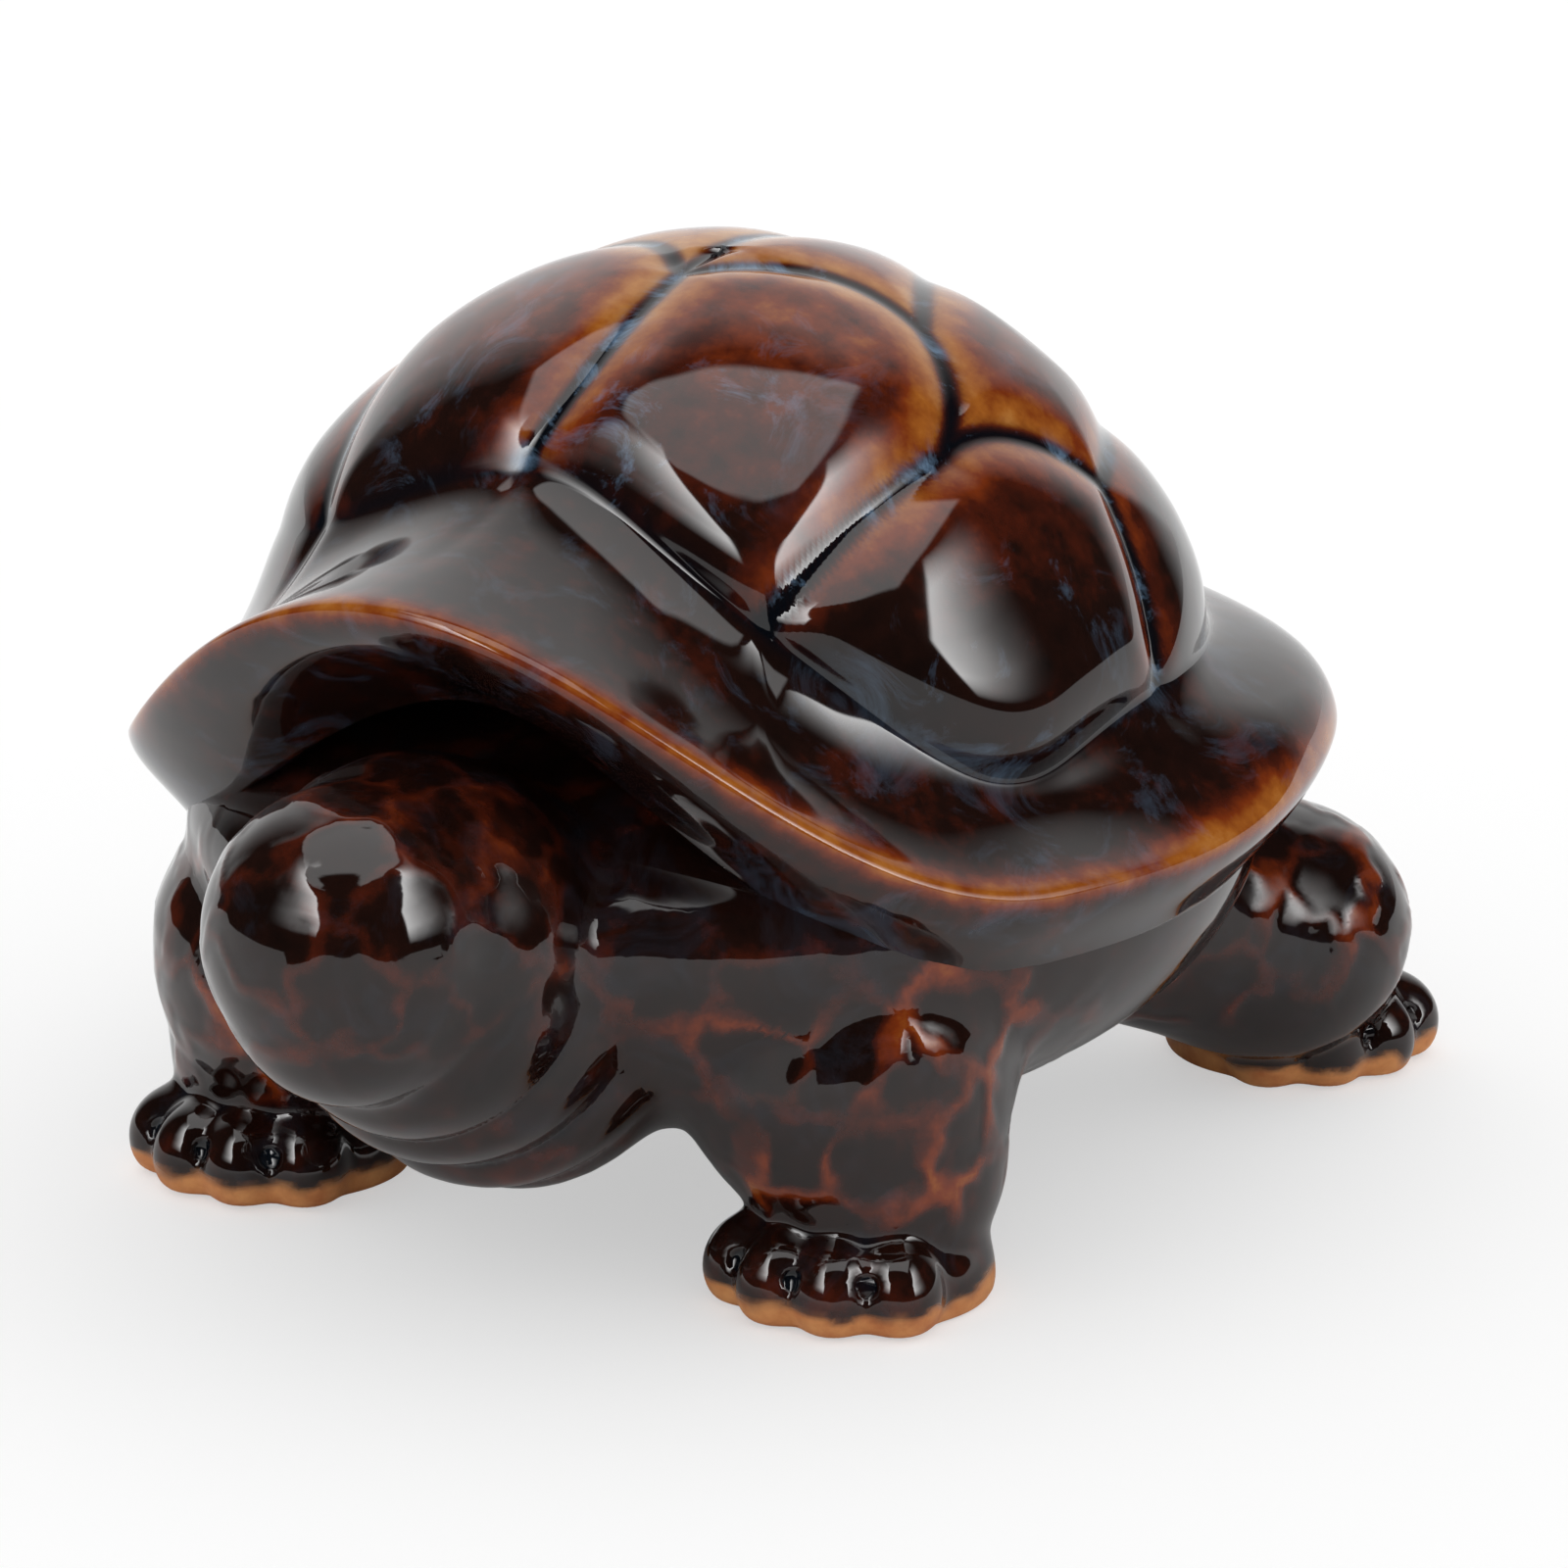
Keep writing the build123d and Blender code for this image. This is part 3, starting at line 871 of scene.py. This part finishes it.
def net_shown(name, points, near):
    """How far the net shows at each point, from the distance to the nearest neighbour's form too."""
    across, ahead, height = np.abs(points[:, 0]), -points[:, 1], points[:, 2]
    drifts = smooth_step(cloud(points, NET_CLOUD, NET_CLOUD_SEED), -NET_CLOUD_EDGE, NET_CLOUD_EDGE)
    shown = NET_SHOWN[0] + NET_SHOWN[1] * drifts
    on_head = smooth_step(ahead, *HEAD_AHEAD)
    shown = shown * (1 - on_head) + HEAD_SHOWN * on_head
    shown *= 1 - HOOD_LOSS * smooth_step(height, *HOOD_HEIGHTS) * (1 - on_head)
    shown *= smooth_step(height, *FOOT_HEIGHTS)
    in_middle = smooth_step(CHEST_HALF_WIDTH - across, 0, CHEST_EDGE)
    low_down = smooth_step(CHEST_HEIGHT - height, 0, CHEST_EDGE)
    shown *= 1 - CHEST_LOSS * in_middle * low_down
    return shown * (1 - smooth_step(near, *FLANK_FADE)) if name == "body" else shown


# %% Glaze marks on the soft pieces
LINE_HEIGHT = 0.16
LINE_GROUND = (2.0, 4.0)
WANDER = 0.7
WANDER_SIZE = 3.0
WANDER_SEED = 40
BULGE_ROUNDS = 12
BULGE_SOFTENING = 4
BULGE_FROM_SEAM = (0.8, 3.0)
RAISED = (0.06, 0.25)
HOLLOW = (0.02, 0.12)
BARE_HEIGHT = 1.8
BARE_EDGE = 0.4
BARE_CLOUD = 4.0
BARE_CLOUD_SEED = 80
SKIN_THIN = 0.1
LINE_THIN = 0.37
RAISED_THIN = 0.1
SOLE_THIN = 0.25
SKIN_MILK = 0.03

for name, piece in soft_pieces.items():
    mesh = piece.data
    points, edges, normals = get_points(mesh), get_edges(mesh), get_normals(mesh)
    wander = [cloud(points, WANDER_SIZE, WANDER_SEED + axis) for axis in range(3)]
    lines = net_lines(points + WANDER * np.stack(wander, axis=1), middles)
    near = np.min([form(points) for other, form in FORMS.items() if other != name], axis=0)
    shown = net_shown(name, points, near)
    swelling = ((points - averaged(points, edges, BULGE_ROUNDS)) * normals).sum(1)
    bulge = averaged(swelling, edges, BULGE_SOFTENING) * smooth_step(near, *BULGE_FROM_SEAM)
    wiped = points[:, 2] + BARE_EDGE * cloud(points, BARE_CLOUD, BARE_CLOUD_SEED)
    sole = 1 - smooth_step(wiped, BARE_HEIGHT - BARE_EDGE, BARE_HEIGHT + BARE_EDGE)
    thin = SKIN_THIN + LINE_THIN * lines * shown + RAISED_THIN * smooth_step(bulge, *RAISED) + SOLE_THIN * sole
    store(mesh, "thin", thin)
    store(mesh, "pool", smooth_step(-bulge, *HOLLOW))
    store(mesh, "milk_and_reflection", np.full(len(points), SKIN_MILK))
    store(mesh, "bare", sole if name.endswith("leg") else np.zeros(len(points)))
    raised = LINE_HEIGHT * (lines - 0.5) * shown * smooth_step(points[:, 2], *LINE_GROUND)
    set_points(mesh, points + normals * raised[:, None])
    print(name, "share of thin glaze:", (lines * shown).mean().round(3))

# %% [markdown]
# ## Kiln-change glaze
# One dip of iron glaze gives every colour. Where it lies thick it is a brown so deep that it looks black, with
# blue in the deepest places; thinner it turns mahogany and rust, and on edges amber. Fine milky blue streaks
# hang in it, and one milky patch on the front scute is a painted reflection that tints the overhead light's
# reflection there grey-blue. The surface is glass: nearly mirror smooth, with a faint waviness. Each colour
# could have its own material, but in the kiln they are one melt, so one material reads the thickness and
# turns it to colour.


# %% Helpers for finishes
def colour(code):
    """Linear colour from an sRGB hex code."""
    parts = [int(code[place:place + 2], 16) / 255 for place in (1, 3, 5)]
    return [part / 12.92 if part <= 0.04045 else ((part + 0.055) / 1.055) ** 2.4 for part in parts] + [1.0]


def add_node(tree, kind, inputs=None, **settings):
    """Add a node, with its settings, and its inputs as values or as links from other nodes."""
    made = tree.nodes.new(kind)
    for key, value in settings.items():
        setattr(made, key, value)
    for key, value in (inputs or {}).items():
        if isinstance(value, bpy.types.NodeSocket):
            tree.links.new(value, made.inputs[key])
        else:
            made.inputs[key].default_value = value
    return made


def set_stops(ramp, stops):
    """Give a colour ramp its stops: places from 0 to 1 and hex codes."""
    elements = ramp.color_ramp.elements
    while len(elements) < len(stops):
        elements.new(1.0)
    for element, (place, code) in zip(elements, stops):
        element.position = place
        element.color = colour(code)


def per_mm(size):
    """Texture scale, per metre, that gives a pattern of a size in millimetres."""
    return 1 / (size * MM)


# %% Glaze thickness
DRIFT_SIZE = 11
GRAIN_SIZE = 2.2
DRIFT_SHARE = 0.6
GRAIN_SHARE = 0.42
MEAN_DRIFT = 0.5

glaze = bpy.data.materials.new("kiln_change_glaze")
glaze.use_nodes = True
tree = glaze.node_tree
shader = tree.nodes["Principled BSDF"]
place = add_node(tree, "ShaderNodeTexCoord").outputs["Object"]
marks = {name: add_node(tree, "ShaderNodeAttribute", attribute_name=name).outputs["Fac"]
         for name in ("thin", "pool", "milk_and_reflection", "bare")}
# Slow drifts and fine grain of the glaze's thickness, which break up its edges
drift = add_node(tree, "ShaderNodeTexNoise", {"Vector": place, "Scale": per_mm(DRIFT_SIZE), "Detail": 5.0,
                                              "Roughness": 0.6})
grain = add_node(tree, "ShaderNodeTexNoise", {"Vector": place, "Scale": per_mm(GRAIN_SIZE), "Detail": 4.0,
                                              "Roughness": 0.6})
drifted = add_node(tree, "ShaderNodeMath", {0: drift.outputs["Fac"], 1: DRIFT_SHARE, 2: marks["thin"]},
                   operation="MULTIPLY_ADD")
grained = add_node(tree, "ShaderNodeMath", {0: grain.outputs["Fac"], 1: GRAIN_SHARE, 2: drifted.outputs[0]},
                   operation="MULTIPLY_ADD")
thinness = add_node(tree, "ShaderNodeMath", {0: grained.outputs[0], 1: MEAN_DRIFT}, operation="SUBTRACT")
print("marks read by the glaze:", ", ".join(marks))

# %% Glaze colour
STREAK_SIZE = 7

# Thick to thin: black-brown, mahogany, rust, amber
melt = add_node(tree, "ShaderNodeValToRGB", {"Fac": thinness.outputs[0]})
set_stops(melt, [(0.0, "#110806"), (0.16, "#1c0c08"), (0.32, "#42170b"), (0.48, "#6f2c0e"), (0.64, "#95551d"),
                 (0.85, "#b98142")])
# Milky blue streaks, drawn out and torn; on the front scute they also carry a painted reflection of the overhead
# light
streak = add_node(tree, "ShaderNodeTexNoise", {"Vector": place, "Scale": per_mm(STREAK_SIZE), "Detail": 7.0,
                                               "Roughness": 0.68, "Distortion": 1.4})
torn = add_node(tree, "ShaderNodeMapRange", {"Value": streak.outputs["Fac"], "From Min": 0.52, "From Max": 0.74})
milky_and_reflection = add_node(tree, "ShaderNodeMath", {0: torn.outputs["Result"], 1: marks["milk_and_reflection"]}, operation="MULTIPLY")
pooled = add_node(tree, "ShaderNodeMix", {0: marks["pool"], 6: melt.outputs["Color"], 7: colour("#05080e")},
                  data_type="RGBA")
streaked = add_node(tree, "ShaderNodeMix", {0: milky_and_reflection.outputs[0], 6: pooled.outputs[2], 7: colour("#7d9dbd")},
                    data_type="RGBA")
# Bare stoneware clay on the wiped soles: tan, dry and a little mottled
clay = add_node(tree, "ShaderNodeValToRGB", {"Fac": grain.outputs["Fac"]})
set_stops(clay, [(0.3, "#aa6433"), (0.7, "#cb8e54")])
surface = add_node(tree, "ShaderNodeMix", {0: marks["bare"], 6: streaked.outputs[2], 7: clay.outputs["Color"]},
                   data_type="RGBA")
tree.links.new(surface.outputs[2], shader.inputs["Base Color"])
print("glaze stops:", len(melt.color_ramp.elements))

# %% Glaze gloss, which gives the eye sharp reflections on glass and none on clay
GLASS_IOR = 1.48
GLASS_ROUGHNESS = 0.05
CLAY_ROUGHNESS = 0.65
RIPPLE_SIZE = 5
RIPPLE_HEIGHT = 0.05
RIPPLE_STRENGTH = 0.6

gloss = add_node(tree, "ShaderNodeMapRange", {"Value": marks["bare"], "To Min": GLASS_ROUGHNESS,
                                              "To Max": CLAY_ROUGHNESS})
tree.links.new(gloss.outputs["Result"], shader.inputs["Roughness"])
shader.inputs["IOR"].default_value = GLASS_IOR
ripple = add_node(tree, "ShaderNodeTexNoise", {"Vector": place, "Scale": per_mm(RIPPLE_SIZE), "Detail": 1.0})
waves = add_node(tree, "ShaderNodeBump", {"Height": ripple.outputs["Fac"], "Distance": RIPPLE_HEIGHT * MM,
                                          "Strength": RIPPLE_STRENGTH})
tree.links.new(waves.outputs["Normal"], shader.inputs["Normal"])

for name, piece in pieces.items():
    piece.data.materials.append(glaze)
    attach(piece, "root")
    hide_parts(name)
print("glazed pieces:", len(pieces))

# %% [markdown]
# ## Floor
# The turtle stands on white paper: matte, with almost no shine, so it shows the soft shadow. A brighter lamp
# would turn the paper white, but it would also wash out the glaze. So the camera sees the paper half washed
# to white, as in a picture on a white page, and the shadow stays.

# %% Floor
FLOOR_WIDTH = 6
PAPER_ROUGHNESS = 0.9
PAPER_SHINE = 0.1
PAPER_WASH = 0.5
WHITE = (1, 1, 1, 1)

bpy.ops.object.select_all(action="DESELECT")
bpy.ops.mesh.primitive_plane_add(size=FLOOR_WIDTH)
floor = bpy.context.object
floor.name = "floor"
paper = bpy.data.materials.new("white_paper")
paper.use_nodes = True
tree = paper.node_tree
shader = tree.nodes["Principled BSDF"]
shader.inputs["Base Color"].default_value = colour("#fafafa")
shader.inputs["Roughness"].default_value = PAPER_ROUGHNESS
shader.inputs["Specular IOR Level"].default_value = PAPER_SHINE
camera_ray = add_node(tree, "ShaderNodeLightPath").outputs["Is Camera Ray"]
washed = add_node(tree, "ShaderNodeMath", {0: camera_ray, 1: PAPER_WASH}, operation="MULTIPLY")
white = add_node(tree, "ShaderNodeEmission", {"Color": WHITE, "Strength": 1.0})
page = add_node(tree, "ShaderNodeMixShader", {0: washed.outputs[0], 1: shader.outputs[0], 2: white.outputs[0]})
tree.links.new(page.outputs[0], tree.nodes["Material Output"].inputs["Surface"])
floor.data.materials.append(paper)
print("floor width:", FLOOR_WIDTH, "m")

# %% [markdown]
# ## Light
# The picture was lit in a white tent that is open towards the camera. The glaze mirrors the room as a dark
# window, with a bright strip along both of its sides and a soft light overhead. Lamps would give round spots,
# so the tent is a world that mirror rays read by direction: its bearing from the camera's own and its height,
# both in degrees. All other rays see an even white, which lights the colours about as they are written.

# %% Directions in the tent
world = bpy.data.worlds.new("white_tent")
world.use_nodes = True
scene.world = world
tree = world.node_tree
ray = add_node(tree, "ShaderNodeTexCoord").outputs["Generated"]
ahead = add_node(tree, "ShaderNodeVectorMath", {0: ray, 1: direction(CAMERA_BEARING, 0)},
                 operation="DOT_PRODUCT").outputs["Value"]
aside = add_node(tree, "ShaderNodeVectorMath", {0: ray, 1: direction(CAMERA_BEARING + 90, 0)},
                 operation="DOT_PRODUCT").outputs["Value"]
above = add_node(tree, "ShaderNodeSeparateXYZ", {0: ray}).outputs["Z"]
angles = {}
for name, operation, inputs in (
    ("bearing", "ARCTAN2", {0: aside, 1: ahead}),
    ("height", "ARCSINE", {0: above}),
    ("overhead_depth", "ARCTAN2", {0: ahead, 1: above}),
    ("overhead_side", "ARCTAN2", {0: aside, 1: above}),
):
    turn = add_node(tree, "ShaderNodeMath", inputs, operation=operation).outputs[0]
    angles[name] = add_node(tree, "ShaderNodeMath", {0: turn}, operation="DEGREES").outputs[0]
print("directions:", ", ".join(angles))

# %% Strips of light beside the window, which lean apart above a height
STRIP_LEFT = -30.0
STRIP_RIGHT = 46.0
STRIP_FADE = 44.0
STRIP_FADE_CURVE = 2.0
STRIP_LEAN = 0.7
STRIP_LEAN_FROM = 30.0
STRIP_EDGE = 1.0
STRIP_END = 6.0
LEFT_STRIP_HEIGHTS = (20.0, 62.0)
RIGHT_STRIP_HEIGHTS = (12.0, 54.0)


def product(first, *others):
    """Several lights' shares multiplied together."""
    for other in others:
        first = add_node(tree, "ShaderNodeMath", {0: first, 1: other}, operation="MULTIPLY").outputs[0]
    return first


def between(value, low, high, edge):
    """1 between two angles, falling to 0 over an edge on both sides."""
    sides = [add_node(tree, "ShaderNodeMapRange", {"Value": value, "From Min": start, "From Max": end})
             for start, end in ((low - edge, low + edge), (high + edge, high - edge))]
    return product(*(side.outputs["Result"] for side in sides))


over = add_node(tree, "ShaderNodeMath", {0: angles["height"], 1: STRIP_LEAN_FROM}, operation="SUBTRACT")
leaning = add_node(tree, "ShaderNodeMath", {0: over.outputs[0], 1: 0.0}, operation="MAXIMUM")
strips = []
for side, start, heights in ((-1, STRIP_LEFT, LEFT_STRIP_HEIGHTS), (1, STRIP_RIGHT, RIGHT_STRIP_HEIGHTS)):
    leaned = add_node(tree, "ShaderNodeMath", {0: leaning.outputs[0], 1: -side * STRIP_LEAN, 2: angles["bearing"]},
                      operation="MULTIPLY_ADD").outputs[0]
    fade = add_node(tree, "ShaderNodeMapRange", {"Value": leaned, "From Min": start + side * STRIP_FADE,
                                                 "From Max": start})
    faded = add_node(tree, "ShaderNodeMath", {0: fade.outputs["Result"], 1: STRIP_FADE_CURVE}, operation="POWER")
    beside = between(leaned, *sorted((start, side * 180)), STRIP_EDGE)
    strips.append(product(faded.outputs[0], beside, between(angles["height"], *heights, STRIP_END)))
print("strips:", len(strips))

# %% Tent
STRIP_LIGHT = 13.0
ROOM_LIGHT = 0.02
BACKDROP_FROM = 140.0
BACKDROP_EDGE = 12.0
BACKDROP_HIGH = 60.0
BACKDROP_TOP_EDGE = 6.0
TOP_LIGHT = 2.2
TOP_LIGHT_DEPTHS = (-18.0, 24.0)
TOP_LIGHT_SIDES = (-24.0, 26.0)
TOP_LIGHT_EDGE = 1.0
EVEN_LIGHT = 1.08

turned_away = add_node(tree, "ShaderNodeMath", {0: angles["bearing"]}, operation="ABSOLUTE")
behind = add_node(tree, "ShaderNodeMapRange", {"Value": turned_away.outputs[0],
                                               "From Min": BACKDROP_FROM - BACKDROP_EDGE,
                                               "From Max": BACKDROP_FROM + BACKDROP_EDGE})
below = add_node(tree, "ShaderNodeMapRange", {"Value": angles["height"],
                                              "From Min": BACKDROP_HIGH + BACKDROP_TOP_EDGE,
                                              "From Max": BACKDROP_HIGH - BACKDROP_TOP_EDGE})
backdrop = product(behind.outputs["Result"], below.outputs["Result"])
overhead = product(between(angles["overhead_depth"], *TOP_LIGHT_DEPTHS, TOP_LIGHT_EDGE),
                   between(angles["overhead_side"], *TOP_LIGHT_SIDES, TOP_LIGHT_EDGE))
both_strips = add_node(tree, "ShaderNodeMath", {0: strips[0], 1: strips[1]}, operation="ADD")
room = add_node(tree, "ShaderNodeMath", {0: both_strips.outputs[0], 1: STRIP_LIGHT, 2: ROOM_LIGHT},
                operation="MULTIPLY_ADD")
tent = add_node(tree, "ShaderNodeMath", {0: room.outputs[0], 1: backdrop}, operation="ADD")
mirrored_light = add_node(tree, "ShaderNodeMath", {0: overhead, 1: TOP_LIGHT, 2: tent.outputs[0]},
                          operation="MULTIPLY_ADD")
glossy_ray = add_node(tree, "ShaderNodeLightPath").outputs["Is Glossy Ray"]
seen = add_node(tree, "ShaderNodeBackground", {"Color": WHITE, "Strength": mirrored_light.outputs[0]})
even = add_node(tree, "ShaderNodeBackground", {"Color": WHITE, "Strength": EVEN_LIGHT})
mixed = add_node(tree, "ShaderNodeMixShader", {0: glossy_ray, 1: even.outputs[0], 2: seen.outputs[0]})
tree.links.new(mixed.outputs[0], tree.nodes["World Output"].inputs["Surface"])
print("world nodes:", len(tree.nodes))
